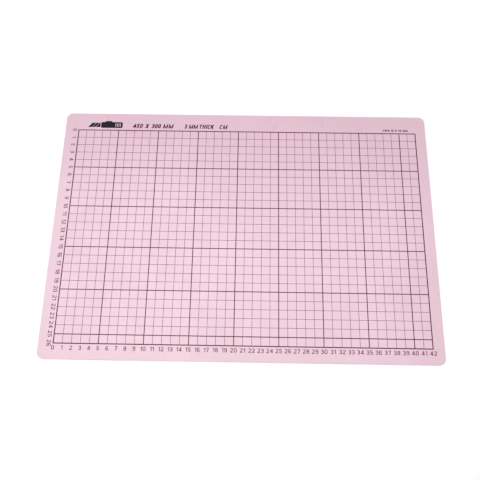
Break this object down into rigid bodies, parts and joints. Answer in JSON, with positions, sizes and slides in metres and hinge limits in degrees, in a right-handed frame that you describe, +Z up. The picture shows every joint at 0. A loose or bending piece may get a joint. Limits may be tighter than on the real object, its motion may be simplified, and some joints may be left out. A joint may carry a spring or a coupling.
{
  "type": "self healing mat",
  "caption": "Flat pink cutting mat with rounded corners, layered from soft and hard vinyl and printed with a centimetre grid, scale numbers and a header line.",
  "frame": {"origin": "centre of the underside, halfway between the sides", "axes": "+X along the long side from the left scale to the right, +Y from the bottom scale towards the header, +Z up out of the printed face"},
  "size_m": [0.45, 0.3, 0.003],
  "materials": {
    "top_vinyl": "soft pink PVC with a fine matte grain",
    "core_vinyl": "hard PVC, a paler pink where the cut edge shows it",
    "back_vinyl": "soft pink PVC with a coarser matte grain",
    "grid_ink": "dark plum screen-printing ink, slightly satin",
    "mark_ink": "blue-black screen-printing ink, slightly satin"
  },
  "bodies": {
    "root": {"bottom_sheet": "back_vinyl", "hard_core": "core_vinyl", "top_sheet": "top_vinyl", "border_print": "grid_ink", "major_grid_print": "grid_ink", "fine_grid_print": "grid_ink", "bottom_scale_print": "grid_ink", "left_scale_print": "grid_ink", "knife_mark_print": "mark_ink", "title_print": "grid_ink", "thickness_print": "grid_ink", "unit_print": "grid_ink", "note_print": "grid_ink"}
  },
  "joints": []
}
